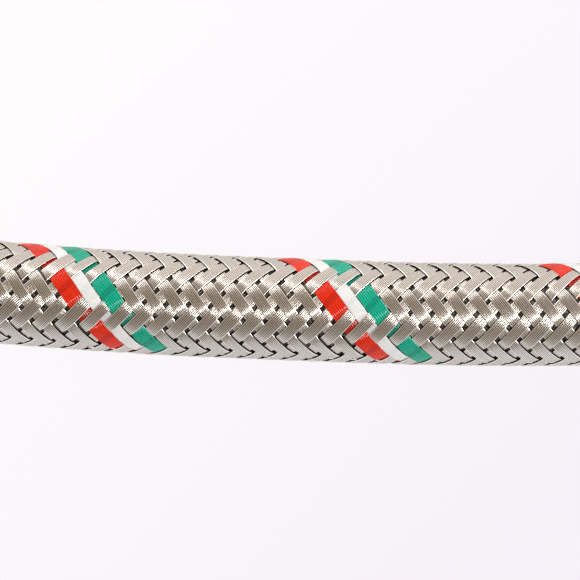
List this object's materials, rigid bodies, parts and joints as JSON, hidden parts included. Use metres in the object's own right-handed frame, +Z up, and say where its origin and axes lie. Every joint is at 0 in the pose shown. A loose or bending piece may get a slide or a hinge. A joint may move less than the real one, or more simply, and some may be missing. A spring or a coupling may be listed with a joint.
{
  "type": "faucet supply hose",
  "caption": "Flexible braided water supply hose with red, white and green tracer strands and a swivel hex nut on each end, lying in a U.",
  "frame": {"origin": "on the surface that the hose lies on, midway between the two fittings", "axes": "+Z up, +Y out of the mouths of both nuts, +X from fitting a to fitting b"},
  "size_m": [0.2288, 0.1316, 0.024],
  "materials": {
    "steel_braid": "bright drawn wire",
    "red_tracer": "glossy nylon thread",
    "white_tracer": "glossy nylon thread",
    "green_tracer": "glossy nylon thread",
    "liner_rubber": "matt black",
    "ferrule_steel": "bright drawn",
    "insert_brass": "turned",
    "plated_nut": "nickel plated, satin bright",
    "gasket_rubber": "matt black"
  },
  "bodies": {
    "hose": {"inner_tube": "liner_rubber", "braid_sleeve": "steel_braid", "ferrule_a": "ferrule_steel", "ferrule_b": "ferrule_steel", "insert_a": "insert_brass", "insert_b": "insert_brass"},
    "swivel_a": {"nut_a": "plated_nut", "gasket_a": "gasket_rubber"},
    "swivel_b": {"nut_b": "plated_nut", "gasket_b": "gasket_rubber"}
  },
  "joints": [
    {"name": "nut_a_swivel", "type": "hinge", "parent": "hose", "child": "swivel_a", "pos_m": [-0.1005, 0.01125, 0.012], "axis": [0, 1, 0], "continuous": true},
    {"name": "nut_b_swivel", "type": "hinge", "parent": "hose", "child": "swivel_b", "pos_m": [0.1005, 0.01125, 0.012], "axis": [0, 1, 0], "continuous": true}
  ]
}
